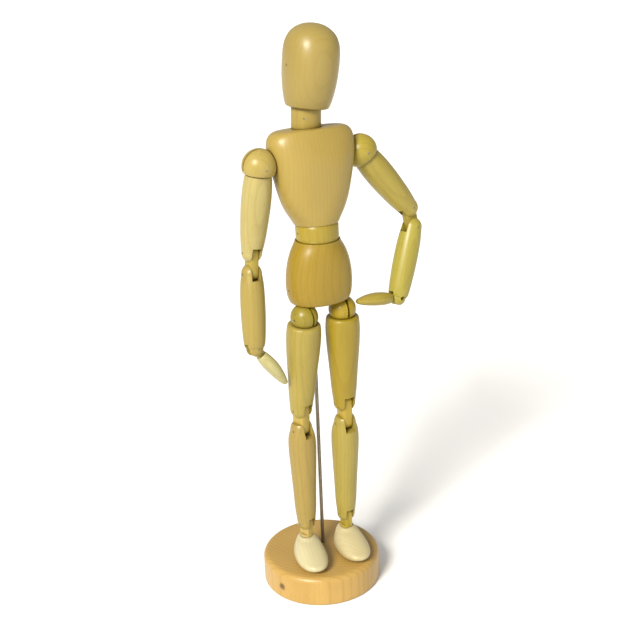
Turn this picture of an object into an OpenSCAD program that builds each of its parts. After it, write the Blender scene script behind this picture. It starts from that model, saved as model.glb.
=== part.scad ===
// Jointed artist mannequin standing on a turned base.
// Millimetres, +Z up, origin at the centre of the base underside.
// The figure faces -Y and its left hand is on the +X side.
// Every limb is modelled straight in its own frame and is then posed by the
// angles in the Pose sections, so the rest pose is one hand on the hip.

/* [Stand] */
// Diameter of the round base
base_d = 65; // [55:0.5:80]
// Height of the base
base_h = 16.8; // [12:0.5:22]
// Rounding of the base's upper edge
base_round = 3.2; // [1:0.1:5]
// Diameter of the steel support rod
rod_d = 2; // [1.6:0.1:2.4]
// Rod position on the base, to the figure's left
rod_x = 3.6; // [-5:0.1:5]
// Rod position on the base, to the figure's back
rod_y = 4.6; // [-6:0.1:8]
// Depth of the rod hole in the underside of the pelvis
rod_socket = 14; // [8:0.5:18]

/* [Trunk] */
// Figure centre line, to its left of the base centre
figure_x = 2.6; // [-5:0.1:5]
// Figure centre line, to its back of the base centre
figure_y = -5.4; // [-8:0.1:4]
// Height of the pelvis underside above the table
pelvis_z = 166.8; // [160:0.1:175]
// Height of the pelvis block
pelvis_h = 32.5; // [31:0.1:34]
// Height of the waist pin above the pelvis underside
waist_z = 36.8; // [36:0.1:39]
// Radius of the waist drum
waist_r = 11; // [10:0.1:11.5]
// Height of the chest top above the waist pin
chest_h = 51.4; // [48:0.1:55]
// Neck position towards the back of the chest
neck_y = 2; // [0:0.1:4]
// Height of the neck pin above the waist pin
neck_z = 56.5; // [55.5:0.1:57.5]
// Radius of the neck drum
neck_r = 7.5; // [7:0.1:8]
// Height of the head
head_h = 40.2; // [36:0.1:44]
// Sideways offset of the two wire eyes that share one pin
eye_shift = 0.7; // [0.65:0.01:0.8]
// Gap at every turning seam
seam = 0.25; // [0.2:0.01:0.4]

/* [Arms] */
// Shoulder centre, out from the chest centre line
shoulder_x = 28.3; // [27:0.1:30]
// Shoulder centre, towards the back
shoulder_y = 0.5; // [-2:0.1:3]
// Shoulder centre, above the waist pin
shoulder_z = 36.4; // [34:0.1:38]
// Radius of the shoulder ball
shoulder_r = 8.7; // [8:0.1:9]
// Depth of the flat below the shoulder centre
shoulder_flat = 3.7; // [3.5:0.1:5.5]
// Length of the upper arm
upper_arm_len = 45.2; // [40:0.1:50]
// Elbow pin to the end of the limb
elbow_tip = 4.95; // [4.5:0.05:5.2]
// Distance between the two elbow pins
elbow_pins = 10.8; // [10.7:0.1:12]
// Length of the forearm
forearm_len = 47; // [44:0.5:54]
// Wrist pin to the end of the forearm
wrist_tip = 3.8; // [3:0.1:4]
// Wrist pin to the top of the hand
wrist_drop = 5.2; // [5:0.1:6.5]
// Length of the hand
hand_len = 22; // [20.5:0.5:26]

// Angle from the right forearm's elbow slot to its wrist slot
right_wrist_slot = 90; // [0:5:90]
// Angle from the left forearm's elbow slot to its wrist slot
left_wrist_slot = 0; // [0:5:90]

/* [Legs] */
// Hip centre, out from the pelvis centre line
hip_x = 11.1; // [10.5:0.1:12]
// Hip centre, towards the back
hip_y = -3.4; // [-4:0.1:0]
// Hip centre, above the pelvis underside
hip_z = -6.4; // [-7:0.1:-5.5]
// Radius of the hip ball
hip_r = 7.2; // [7:0.1:8]
// Depth of the flat below the hip centre
hip_flat = 3.5; // [3.4:0.1:4]
// Length of the thigh
thigh_len = 52.8; // [46:0.1:56]
// Knee pin to the end of the limb
knee_tip = 3.4; // [3:0.1:4]
// Distance between the two knee pins
knee_pins = 12; // [12:0.1:13]
// Length of the shin
shin_len = 63; // [58:0.5:68]
// Ankle pin to the end of the shin
ankle_tip = 2.6; // [2.2:0.1:3]
// Ankle pin to the top of the foot
ankle_drop = 8.4; // [8:0.1:9]
// Height of the foot
foot_h = 12; // [10:0.1:13]

/* [Hardware] */
// Diameter of the steel pins
pin_d = 1.2; // [1:0.1:1.4]
// Diameter of the hook wire
wire_d = 1.1; // [0.9:0.1:1.2]
// Outer diameter of the springs
spring_d = 4; // [3.6:0.1:4.2]
// Open mouth of the left wrist pin hole, across
wrist_hole_d = 2.3; // [1.6:0.1:2.6]
// Thickness of the elbow links
elbow_link_t = 4.6; // [4:0.1:5]
// Thickness of the knee links
knee_link_t = 5.4; // [4.6:0.1:6]

/* [Pose of the trunk] */
// Turn of the waist drum on the pelvis
waist_turn = 0; // [-20:0.5:20]
// Lean back at the lower waist seam
waist_bend = -2; // [-10:0.5:10]
// Lean back at the upper waist seam
chest_bend = -3; // [-10:0.5:10]
// Turn of the chest
chest_turn = 0; // [-20:0.5:20]
// Turn of the neck drum
neck_turn = 55; // [-60:0.5:60]
// Nod at the lower neck seam
neck_nod = 5; // [-10:0.5:10]
// Nod at the upper neck seam
head_nod = 5; // [-10:0.5:10]
// Turn of the head
head_turn = -55; // [-80:0.5:80]

/* [Pose of the right arm] */
// Swing forward at the shoulder
right_arm_swing = -10; // [-20:0.5:20]
// Raise sideways at the shoulder
right_arm_raise = 6.5; // [4:0.5:40]
// Twist of the arm, inward positive
right_arm_twist = 4; // [-40:0.5:60]
// Bend at the upper elbow pin
right_elbow_upper = 8.5; // [0:0.5:30]
// Bend at the lower elbow pin
right_elbow_lower = 6; // [0:0.5:30]
// Bend of the wrist, palm forward
right_wrist_bend = 41; // [0:0.5:75]
// Twist of the hand on the knuckle
right_hand_twist = 0; // [-40:0.5:40]

/* [Pose of the left arm] */
// Swing forward at the shoulder
left_arm_swing = -5; // [-20:0.5:30]
// Raise sideways at the shoulder
left_arm_raise = 39.5; // [20:0.5:45]
// Twist of the arm, inward positive
left_arm_twist = 79.5; // [40:0.5:100]
// Bend at the upper elbow pin
left_elbow_upper = 31; // [10:0.5:32]
// Bend at the lower elbow pin
left_elbow_lower = 29.5; // [10:0.5:32]
// Bend of the wrist, palm forward
left_wrist_bend = 78; // [30:0.5:80]
// Twist of the hand on the knuckle
left_hand_twist = 0; // [-40:0.5:40]

/* [Pose of the right leg] */
// Turn of the hip hook, inward positive
right_hip_turn = 17.5; // [-40:0.5:20]
// Swing forward at the hip
right_hip_swing = -6; // [-10:0.5:10]
// Twist of the thigh, inward positive
right_thigh_twist = 0; // [-90:0.5:20]
// Bend back at the upper knee pin
right_knee_upper = -3.5; // [-8:0.5:8]
// Bend at the lower knee pin
right_knee_lower = -3; // [-8:0.5:8]
// Toes up at the ankle
right_ankle_bend = -2; // [-10:0.5:20]
// Turn of the foot, inward positive
right_foot_turn = -29.5; // [-30:0.5:10]

/* [Pose of the left leg] */
// Turn of the hip hook, inward positive
left_hip_turn = -1.5; // [-40:0.5:20]
// Swing forward at the hip
left_hip_swing = -1; // [-10:0.5:10]
// Twist of the thigh, inward positive
left_thigh_twist = 0; // [-90:0.5:20]
// Bend at the upper knee pin
left_knee_upper = 0; // [-8:0.5:8]
// Bend at the lower knee pin
left_knee_lower = 1; // [-8:0.5:8]
// Toes up at the ankle
left_ankle_bend = 1; // [-10:0.5:20]
// Turn of the foot, inward positive
left_foot_turn = 9; // [-30:0.5:10]

/* [Hidden] */
$fn = 48;
wood = [0.85, 0.72, 0.46];
pale = [0.91, 0.85, 0.70];
tan_wood = [0.82, 0.66, 0.38];
steel = [0.62, 0.60, 0.56];
pr = pin_d / 2;          // pin radius
wr = wire_d / 2;         // hook wire radius
eye_in = pr + 0.08;      // inside radius of a wire eye, a running fit on its pin
eye_mid = eye_in + wr;   // centre line radius of a wire eye
waist_ball = waist_r + 0.5;    // sphere that rounds the waist drum
waist_dish = waist_ball + 0.3; // spherical seat for the waist drum
neck_ball = neck_r + 1.5;
neck_dish = neck_ball + 0.3;
elbow_rho = 5.3;         // end dome radii, about the pins
wrist_rho = 4.4;
knee_rho = 5.9;
ankle_rho = 4.9;
elbow_link_r = 3.2;      // half depth of the links
knee_link_r = 3.8;
wrist_tongue = 3.2;      // thickness of the wrist tongue
ankle_tongue = 4.2;
socket_r = 2.6;          // tenon holes
tenon_r = 2.5;

// Point of a rounded outline with separate front and back depths
function signed_pow(v, p) = v < 0 ? -pow(-v, p) : pow(v, p);
function outline_point(row, a) = [
    row[1] * signed_pow(cos(a), 2 / row[5]),
    row[4] + (sin(a) > 0 ? row[3] : row[2]) * signed_pow(sin(a), 2 / row[5]),
    row[0]];

// Solid through horizontal outlines; a row is [z, half width, front, back, centre y, squareness]
module loft(rows, m = 32) {
    k = len(rows);
    pts = [for (r = rows) for (j = [0 : m - 1]) outline_point(r, (j + 0.5) * 360 / m)];
    sides = [for (i = [0 : k - 2]) for (j = [0 : m - 1])
        let (n = (j + 1) % m, a = i * m + j, b = i * m + n, c = a + m, d = b + m)
        each [[a, c, b], [b, c, d]]];
    ends = [[for (j = [0 : m - 1]) j], [for (j = [m - 1 : -1 : 0]) (k - 1) * m + j]];
    polyhedron(points = pts, faces = concat(sides, ends), convexity = 4);
}

// Smooth curve through hand-chosen rows
function blend4(a, b, c, d, t) = 0.5 * (2 * b + (c - a) * t + (2 * a - 5 * b + 4 * c - d) * t * t
    + (3 * b - a - 3 * c + d) * t * t * t);
function smooth_rows(rows, n) = let (k = len(rows)) [for (i = [0 : k - 2]) for (s = [0 : (i == k - 2 ? n : n - 1)])
    let (t = s / n, a = rows[max(i - 1, 0)], b = rows[i], c = rows[i + 1], d = rows[min(i + 2, k - 1)])
    blend4(a, b, c, d, t)];
// Arc of an end dome of radius rho about a pin, down to the flat tip
function dome(rho, tip, z, up, n = 5) = [for (i = [0 : n])
    let (a = asin(tip / rho) * (up > 0 ? n - i : i) / n)
    [rho * cos(a), z + up * rho * sin(a)]];

// Turned limb: profile rows are [radius, z]
module turned(profile) {
    rotate_extrude($fn = 64)
        polygon(concat([[0, profile[0][1]]], profile, [[0, profile[len(profile) - 1][1]]]));
}

module bar_x(r, l, fn = 32) rotate([0, 90, 0]) cylinder(r = r, h = l, center = true, $fn = fn);
module bar_y(r, l, fn = 32) rotate([90, 0, 0]) cylinder(r = r, h = l, center = true, $fn = fn);

// Wire eye round an X pin, with its shank along +Z; two eyes can share one pin
// because a shifted eye has its wire cranked back to the centre line
module wire_eye(shank, shift = 0) {
    translate([shift, 0, 0]) rotate([0, 90, 0]) rotate_extrude($fn = 40)
        translate([eye_mid, 0]) circle(r = wr, $fn = 20);
    if (shift == 0) translate([0, 0, eye_mid]) cylinder(r = wr, h = shank - eye_mid, $fn = 24);
    else {
        translate([shift, 0, eye_mid]) cylinder(r = wr, h = 0.9, $fn = 24);
        translate([shift, 0, eye_mid + 0.9]) {
            sphere(r = wr + 0.05, $fn = 24);
            rotate([0, atan2(-shift, 1.2), 0]) cylinder(r = wr, h = norm([shift, 1.2]), $fn = 24);
        }
        translate([0, 0, eye_mid + 2.1]) {
            sphere(r = wr + 0.05, $fn = 24);
            cylinder(r = wr, h = shank - eye_mid - 2.1, $fn = 24);
        }
    }
}
// Hook that turns in a coned spring end: eye, shank and round head
module swivel_hook(shank, shift = 0) {
    wire_eye(shank, shift);
    translate([0, 0, shank - 0.6]) cylinder(r = 1.1, h = 0.8, $fn = 24);
}
// Screw eye: the shank carries a low thread ridge that turns in its hole
module screw_eye(shank, shift = 0) {
    wire_eye(shank, shift);
    for (i = [0 : 4]) translate([0, 0, shank - 1.2 - i * 0.9])
        cylinder(r1 = wr, r2 = wr + 0.2, h = 0.5, $fn = 24);
}

// Extension spring along +Z from 0 to l, its ends closed down to hold a hook head or a pin
module spring(l, turns) {
    rs = 0.35;
    steps = turns * 12;
    function coil_r(t) = min(spring_d / 2 - rs, 1.15 + 9 * min(t, 1 - t));
    function coil(t) = [coil_r(t) * cos(360 * turns * t), coil_r(t) * sin(360 * turns * t), rs + (l - 2 * rs) * t];
    pts = [for (i = [0 : steps]) let (t = i / steps, c = coil(t), a = 360 * turns * t)
        for (j = [0 : 5]) c + rs * [cos(60 * j) * cos(a), cos(60 * j) * sin(a), sin(60 * j)]];
    faces = concat(
        [for (i = [0 : steps - 1]) for (j = [0 : 5])
            let (n = (j + 1) % 6, a = i * 6 + j, b = i * 6 + n) each [[a, b, a + 6], [b, b + 6, a + 6]]],
        [[5, 4, 3, 2, 1, 0]], [[for (j = [0 : 5]) steps * 6 + j]]);
    polyhedron(points = pts, faces = faces, convexity = 8);
}

// ---- frames of the moving bodies, each placed on its parent ----
module at_pelvis() translate([figure_x, figure_y, pelvis_z]) children();
module at_waist_hook() at_pelvis() translate([0, 0, waist_z]) rotate([0, 0, waist_turn]) children();
module at_waist() at_waist_hook() rotate([waist_bend, 0, 0]) children();
module at_waist_eye() at_waist() rotate([chest_bend, 0, 0]) children();
module at_chest() at_waist_eye() rotate([0, 0, chest_turn]) children();
module at_neck_eye() at_chest() translate([0, neck_y, neck_z]) rotate([0, 0, neck_turn]) children();
module at_neck() at_neck_eye() rotate([neck_nod, 0, 0]) children();
module at_neck_hook() at_neck() rotate([head_nod, 0, 0]) children();
module at_head() at_neck_hook() rotate([0, 0, head_turn]) children();

// Limb angles by side: s = -1 is the right side, s = 1 the left
function arm(s) = s < 0
    ? [right_arm_swing, right_arm_raise, right_arm_twist, right_elbow_upper, right_elbow_lower, right_wrist_bend, right_hand_twist]
    : [left_arm_swing, left_arm_raise, left_arm_twist, left_elbow_upper, left_elbow_lower, left_wrist_bend, left_hand_twist];
function leg(s) = s < 0
    ? [right_hip_turn, right_hip_swing, right_thigh_twist, right_knee_upper, right_knee_lower, right_ankle_bend, right_foot_turn]
    : [left_hip_turn, left_hip_swing, left_thigh_twist, left_knee_upper, left_knee_lower, left_ankle_bend, left_foot_turn];
// The wrist slot may be cut at an angle to the elbow slot, inward positive
function wrist_slot_angle(s) = -s * (s < 0 ? right_wrist_slot : left_wrist_slot);
module at_shoulder_hook(s) at_chest() translate([s * shoulder_x, shoulder_y, shoulder_z])
    rotate([-arm(s)[0], 0, 0]) children();
module at_shoulder_ball(s) at_shoulder_hook(s) rotate([0, -s * arm(s)[1], 0]) children();
module at_upper_arm(s) at_shoulder_ball(s) rotate([0, 0, -s * arm(s)[2]]) children();
module at_elbow_link(s) at_upper_arm(s)
    translate([0, 0, -(shoulder_flat + seam + upper_arm_len - elbow_tip)]) rotate([-arm(s)[3], 0, 0]) children();
module at_forearm(s) at_elbow_link(s) translate([0, 0, -elbow_pins]) rotate([-arm(s)[4], 0, 0]) children();
module at_wrist_knuckle(s) at_forearm(s) translate([0, 0, -(forearm_len - elbow_tip - wrist_tip)])
    rotate([0, 0, wrist_slot_angle(s)]) rotate([-arm(s)[5], 0, 0]) children();
module at_hand(s) at_wrist_knuckle(s) translate([0, 0, -wrist_drop]) rotate([0, 0, -s * arm(s)[6]]) children();
module at_hip_hook(s) at_pelvis() translate([s * hip_x, hip_y, hip_z]) rotate([0, 0, -s * leg(s)[0]]) children();
module at_hip_ball(s) at_hip_hook(s) rotate([-leg(s)[1], 0, 0]) children();
module at_thigh(s) at_hip_ball(s) rotate([0, 0, -s * leg(s)[2]]) children();
module at_knee_link(s) at_thigh(s)
    translate([0, 0, -(hip_flat + seam + thigh_len - knee_tip)]) rotate([leg(s)[3], 0, 0]) children();
module at_shin(s) at_knee_link(s) translate([0, 0, -knee_pins]) rotate([leg(s)[4], 0, 0]) children();
module at_ankle_knuckle(s) at_shin(s) translate([0, 0, -(shin_len - knee_tip - ankle_tip)])
    rotate([-leg(s)[5], 0, 0]) children();
module at_foot(s) at_ankle_knuckle(s) translate([0, 0, -ankle_drop]) rotate([0, 0, -s * leg(s)[6]]) children();

// ---- stand ----
module base() color(tan_wood) difference() {
    rotate_extrude($fn = 96) polygon(concat([[0, 0], [base_d / 2 - 1.6, 0]],
        [for (i = [1 : 4]) let (a = i * 22.5) [base_d / 2 - 1.6 + 1.6 * sin(a), 1.6 - 1.6 * cos(a)]],
        [for (i = [0 : 6]) let (a = i * 15) [base_d / 2 - base_round + base_round * cos(a), base_h - base_round + base_round * sin(a)]],
        [[0, base_h]]));
    translate([rod_x, rod_y, 3]) cylinder(r = rod_d / 2 + 0.02, h = base_h, $fn = 32);
}
module support_rod() color(steel) translate([rod_x, rod_y, 3])
    cylinder(r = rod_d / 2, h = pelvis_z + rod_socket - 3, $fn = 32);

// ---- trunk ----
pelvis_rows = [[0, 14.9, 11.2, 11.4, 0, 2.2], [1, 16, 12.3, 12.5, 0, 2.2], [4, 17, 13.1, 13.3, 0, 2.2],
    [9, 17.5, 13.5, 13.5, 0, 2.2], [14, 17.4, 13.5, 13.3, 0, 2.2], [18, 17, 13.3, 12.9, 0, 2.15],
    [22.5, 16.1, 12.9, 12.4, 0, 2.1], [27, 14.5, 12.3, 11.9, 0, 2.05], [30.5, 12.6, 11.6, 11.5, 0, 2],
    [pelvis_h, 11.6, 11.3, 11.3, 0, 2]];
module pelvis() color(wood) at_pelvis() difference() {
    loft(pelvis_rows, 36);
    translate([0, 0, waist_z]) sphere(r = waist_dish, $fn = 64);
    translate([rod_x - figure_x, rod_y - figure_y, -1]) cylinder(r = rod_d / 2 + 0.1, h = rod_socket + 1, $fn = 32);
    for (s = [-1, 1]) translate([s * hip_x, hip_y, hip_z]) {
        sphere(r = hip_r + 0.3, $fn = 48);
        cylinder(r = wr + 0.2 + 0.05, h = 17.2, $fn = 24);
    }
    translate([0, 0, 5.3]) cylinder(r = spring_d / 2 + 0.25, h = 40, $fn = 32);
    translate([0, 0, 7.8]) bar_x(pr, 60);
}
module pelvis_pin() color(steel) at_pelvis() translate([0, 0, 7.8]) bar_x(pr, 33.8);
module waist_spring() color(steel) at_pelvis() translate([0, 0, 8.6]) spring(15.6, 14);
module waist_hook() color(steel) at_waist_hook() rotate([0, 180, 0]) swivel_hook(14.4, eye_shift);
module drum(r, ball, h) {
    difference() {
        intersection() {
            sphere(r = ball, $fn = 64);
            cylinder(r = r, h = 2 * ball, center = true, $fn = 64);
            cylinder(r = ball, h = 2 * h, center = true, $fn = 64);
        }
        // saw slot for the two eyes, and the pin hole
        cube([2 * eye_shift + wire_d + 0.5, 7.6, 2 * ball], center = true);
        bar_x(pr, 3 * r);
    }
}
module waist() color(wood) at_waist() drum(waist_r, waist_ball, 9.5);
module waist_pin() color(steel) at_waist() bar_x(pr, 2 * waist_r - 0.5);
module waist_eye() color(steel) at_waist_eye() screw_eye(21, eye_shift);
chest_rows = [[4.1, 11.3, 11.2, 11.2, 0, 2], [7, 13, 12, 11.8, 0, 2.05], [11, 15.4, 12.7, 12.2, 0, 2.1],
    [16, 17.6, 13.3, 12.4, 0, 2.15], [22, 19.3, 14.1, 12.4, 0, 2.2], [28, 20.6, 14.9, 12.3, 0, 2.25],
    [33, 21.6, 15.2, 12.2, 0, 2.3], [38, 22.5, 14.8, 12, 0, 2.35], [43.5, 23.1, 13.3, 11.7, 0, 2.4],
    [47, 22.8, 12.3, 11.4, 0, 2.35], [49.4, 21.6, 11.5, 11.1, 0, 2.3], [50.8, 19.9, 10.9, 10.7, 0, 2.25], [chest_h, 18.2, 10.3, 10.2, 0, 2.2]];
module chest() color(wood) at_chest() difference() {
    loft(chest_rows, 40);
    sphere(r = waist_dish, $fn = 64);
    translate([0, neck_y, neck_z]) sphere(r = neck_dish, $fn = 64);
    for (s = [-1, 1]) translate([s * shoulder_x, shoulder_y, shoulder_z]) sphere(r = shoulder_r + 0.3, $fn = 64);
    translate([0, shoulder_y, shoulder_z]) bar_x(spring_d / 2 + 0.25, 60);
    cylinder(r = wr + 0.2 + 0.05, h = 21.4, $fn = 24);
    translate([0, neck_y, neck_z - 14]) cylinder(r = wr + 0.2 + 0.05, h = 20, $fn = 24);
}
module shoulder_spring() color(steel) at_chest() translate([-11.2, shoulder_y, shoulder_z])
    rotate([0, 90, 0]) spring(22.4, 18);
module neck_eye() color(steel) at_neck_eye() rotate([0, 180, 0]) screw_eye(13.4, eye_shift);
module neck() color(wood) at_neck() drum(neck_r, neck_ball, 6.6);
module neck_pin() color(steel) at_neck() bar_x(pr, 2 * neck_r - 0.4);
module neck_hook() color(steel) at_neck_hook() swivel_hook(12.6, eye_shift);
function head_z(f) = 4.9 + head_h * f;
head_rows = [[head_z(0), 9.9, 9.6, 9.6, 0, 2], [head_z(0.02), 10.8, 10.9, 11, 0, 2.05], [head_z(0.1), 11.6, 12.4, 12.8, 0, 2.1],
    [head_z(0.22), 12.3, 13.7, 14.5, 0, 2.15], [head_z(0.36), 12.9, 14.6, 15.8, 0, 2.15], [head_z(0.5), 13.3, 15, 16.4, 0.1, 2.1],
    [head_z(0.64), 13.5, 14.8, 16.4, 0.2, 2.05], [head_z(0.76), 13.1, 13.8, 15.6, 0.3, 2], [head_z(0.86), 11.5, 11.9, 13.5, 0.4, 2],
    [head_z(0.93), 8.9, 9.2, 10.5, 0.5, 2], [head_z(0.975), 5.7, 5.9, 6.7, 0.6, 2], [head_z(1), 1.9, 1.9, 2.1, 0.6, 2]];
module head() color(wood) at_head() difference() {
    loft(head_rows, 36);
    sphere(r = neck_dish, $fn = 64);
    cylinder(r = spring_d / 2 + 0.25, h = 28, $fn = 32);
    translate([0, 0, 24.6]) bar_x(pr, 40);
}
module head_spring() color(steel) at_head() translate([0, 0, 10.4]) spring(13.4, 12);
module head_pin() color(steel) at_head() translate([0, 0, 24.6]) bar_x(pr, 26);

// ---- arms ----
module shoulder_hook(s) color(steel) at_shoulder_hook(s) rotate([0, -s * 90, 0]) rotate([0, 0, 90]) swivel_hook(19.2);
module ball(r, flat, tenon, cut) {
    difference() {
        union() {
            difference() {
                sphere(r = r, $fn = 64);
                translate([0, 0, -flat - 10]) cube([4 * r, 4 * r, 20], center = true);
            }
            translate([0, 0, -flat - tenon]) cylinder(r = tenon_r, h = tenon + 0.5, $fn = 32);
        }
        // saw slot, square to the pin, and the pin hole
        translate([0, 0, 10 - cut]) cube([wire_d + 0.4, 4 * r, 20], center = true);
        bar_x(pr, 3 * r);
    }
}
module shoulder_ball(s) color(wood) at_shoulder_ball(s) rotate([0, 0, 90]) ball(shoulder_r, shoulder_flat, 6, 2.2);
module shoulder_pin(s) color(steel) at_shoulder_ball(s) bar_y(pr, 2 * shoulder_r - 0.6);
upper_arm_top = -(shoulder_flat + seam);
upper_arm_pin_z = upper_arm_top - upper_arm_len + elbow_tip;
// Saw slot that a link swings in: open at the tip, its floor just past the link's round end
module link_slot(t, r, up) translate([0, 0, up * 10 - up * (r + 0.3)]) cube([t + 0.4, 24, 20], center = true);
module upper_arm(s) color(wood) at_upper_arm(s) difference() {
    turned(concat(
        [[6.1, upper_arm_top], [6.6, upper_arm_top - 0.5]],
        smooth_rows([[6.9, upper_arm_top - 2], [7.4, upper_arm_top - 9], [7.4, upper_arm_top - 17],
            [6.9, upper_arm_top - 26], [6.3, upper_arm_top - 33], [5.3, upper_arm_pin_z + 0.3]], 2),
        dome(elbow_rho, elbow_tip, upper_arm_pin_z, -1)));
    translate([0, 0, upper_arm_top - 7]) cylinder(r = socket_r, h = 10, $fn = 32);
    translate([0, 0, upper_arm_pin_z]) {
        link_slot(elbow_link_t, elbow_link_r, -1);
        bar_x(pr, 20);
    }
}
module upper_arm_pin(s) color(steel) at_elbow_link(s) bar_x(pr, 2 * elbow_rho - 0.5);
module link(t, r, l) difference() {
    union() {
        bar_x(r, t, 40);
        translate([0, 0, -l]) bar_x(r, t, 40);
        translate([0, 0, -l / 2]) cube([t, 2 * r, l], center = true);
    }
    bar_x(pr + 0.08, 3 * t);
    translate([0, 0, -l]) bar_x(pr + 0.08, 3 * t);
}
module elbow_link(s) color(wood) at_elbow_link(s) link(elbow_link_t, elbow_link_r, elbow_pins);
wrist_z = -(forearm_len - elbow_tip - wrist_tip);
module forearm(s) color(wood) at_forearm(s) difference() {
    turned(concat(dome(elbow_rho, elbow_tip, 0, 1),
        smooth_rows([[5.4, -1], [6, -6], [6.3, -13], [6.3, -21], [6, -29], [5.6, -34.5], [5.1, -37], [4.4, wrist_z + 0.2]], 2),
        dome(wrist_rho, wrist_tip, wrist_z, -1)));
    link_slot(elbow_link_t, elbow_link_r, 1);
    bar_x(pr, 20);
    translate([0, 0, wrist_z]) rotate([0, 0, wrist_slot_angle(s)]) {
        link_slot(wrist_tongue, 2.3, -1);
        bar_x(pr, 20);
        // the left wrist pin was left short, so the mouth of its hole shows open
        if (s > 0) translate([2.6, 0, 0]) rotate([0, 90, 0]) cylinder(d = wrist_hole_d, h = 6, $fn = 32);
    }
}
module forearm_pins(s) color(steel) at_forearm(s) {
    bar_x(pr, 2 * elbow_rho - 0.5);
    translate([0, 0, wrist_z]) rotate([0, 0, wrist_slot_angle(s)])
        translate([s > 0 ? -0.85 : 0, 0, 0]) bar_x(pr, s > 0 ? 6.7 : 2 * wrist_rho - 0.4);
}
// Slotted-joint knuckle: a tongue on the pin and a round tenon that turns in the next piece
module knuckle(t, r, drop, tenon, collar) difference() {
    union() {
        bar_x(r, t, 40);
        translate([0, 0, -(drop - seam) / 2]) cube([t, 2 * r, drop - seam], center = true);
        if (collar > 0) translate([0, 0, -drop + seam]) cylinder(r = collar, h = 1.1, $fn = 32);
        translate([0, 0, -drop - tenon]) cylinder(r = 1.5, h = tenon + 1, $fn = 32);
    }
    bar_x(pr + 0.08, 3 * t);
}
module wrist_knuckle(s) color(wood) at_wrist_knuckle(s) knuckle(wrist_tongue, 2.3, wrist_drop, 5, 0);
hand_rows = [[0, 2.7, 2.5, 2.5, 0, 2], [-0.8, 3.3, 2.9, 2.9, 0, 2.1], [-3.5, 4.2, 3.3, 3.2, 0, 2.2], [-7, 4.8, 3.5, 3.3, 0, 2.3],
    [-10.5, 4.7, 3.4, 3.2, 0, 2.3], [-14, 4.2, 3, 2.9, 0.1, 2.2], [-17.5, 3.3, 2.4, 2.4, 0.2, 2.1], [-20.5, 2.1, 1.6, 1.7, 0.3, 2],
    [-hand_len, 0.9, 0.7, 0.8, 0.3, 2]];
module hand(s) color(wood) at_hand(s) difference() {
    loft([for (i = [len(hand_rows) - 1 : -1 : 0]) hand_rows[i]], 28);
    translate([0, 0, -5.6]) cylinder(r = 1.6, h = 10, $fn = 32);
}

// ---- legs ----
module hip_hook(s) color(steel) at_hip_hook(s) screw_eye(17);
module hip_ball(s) color(wood) at_hip_ball(s) ball(hip_r, hip_flat, 8, 2.9);
module hip_pin(s) color(steel) at_hip_ball(s) bar_x(pr, 2 * hip_r - 0.6);
thigh_top = -(hip_flat + seam);
knee_z = thigh_top - thigh_len + knee_tip;
module thigh(s) color(wood) at_thigh(s) difference() {
    turned(concat(
        [[7.9, thigh_top], [8.5, thigh_top - 0.6]],
        smooth_rows([[8.8, thigh_top - 2], [9.1, thigh_top - 7], [8.8, thigh_top - 15], [8.1, thigh_top - 24],
            [7.3, thigh_top - 34], [6.8, thigh_top - 41], [5.9, knee_z + 0.3]], 2),
        dome(knee_rho, knee_tip, knee_z, -1)));
    translate([0, 0, thigh_top - 9]) cylinder(r = socket_r, h = 12, $fn = 32);
    translate([0, 0, knee_z]) {
        link_slot(knee_link_t, knee_link_r, -1);
        bar_x(pr, 20);
    }
}
module thigh_pin(s) color(steel) at_knee_link(s) bar_x(pr, 2 * knee_rho - 0.5);
module knee_link(s) color(wood) at_knee_link(s) link(knee_link_t, knee_link_r, knee_pins);
ankle_z = -(shin_len - knee_tip - ankle_tip);
module shin(s) color(wood) at_shin(s) difference() {
    turned(concat(dome(knee_rho, knee_tip, 0, 1),
        smooth_rows([[6.1, -0.6], [7.2, -5], [7.5, -11], [7.2, -19], [6.7, -29], [6.2, -39], [5.8, -48], [4.9, ankle_z + 0.3]], 2),
        dome(ankle_rho, ankle_tip, ankle_z, -1)));
    link_slot(knee_link_t, knee_link_r, 1);
    bar_x(pr, 20);
    translate([0, 0, ankle_z]) {
        link_slot(ankle_tongue, 3.2, -1);
        bar_x(pr, 20);
    }
}
module shin_pins(s) color(steel) at_shin(s) {
    bar_x(pr, 2 * knee_rho - 0.5);
    translate([0, 0, ankle_z]) bar_x(pr, 2 * ankle_rho - 0.4);
}
module ankle_knuckle(s) color(wood) at_ankle_knuckle(s) knuckle(ankle_tongue, 3.2, ankle_drop, 6, 3.4);
foot_rows = [[-foot_h, 6.6, 8.6, 12.6, -6.8, 2.2], [-foot_h + 0.5, 7.5, 12.2, 13.4, -7, 2.2], [-foot_h + 1.3, 8.2, 14.4, 14.1, -7.2, 2.2],
    [-foot_h + 2.8, 8.6, 15.9, 14.6, -7.3, 2.2], [-foot_h + 4.6, 8.5, 15.9, 14.4, -7.1, 2.2], [-foot_h + 6.4, 7.9, 13.2, 13.6, -6.3, 2.15],
    [-foot_h + 8.2, 7, 10.4, 12, -4.8, 2.1], [-foot_h + 9.8, 6, 7.6, 9.6, -3, 2.05], [-foot_h + 10.9, 4.9, 5.4, 7, -1.4, 2],
    [0, 4.1, 4.2, 5.2, -0.6, 2]];
module foot(s) color(pale) at_foot(s) difference() {
    loft(foot_rows, 32);
    translate([0, 0, -6.6]) cylinder(r = 1.6, h = 10, $fn = 32);
}

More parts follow.
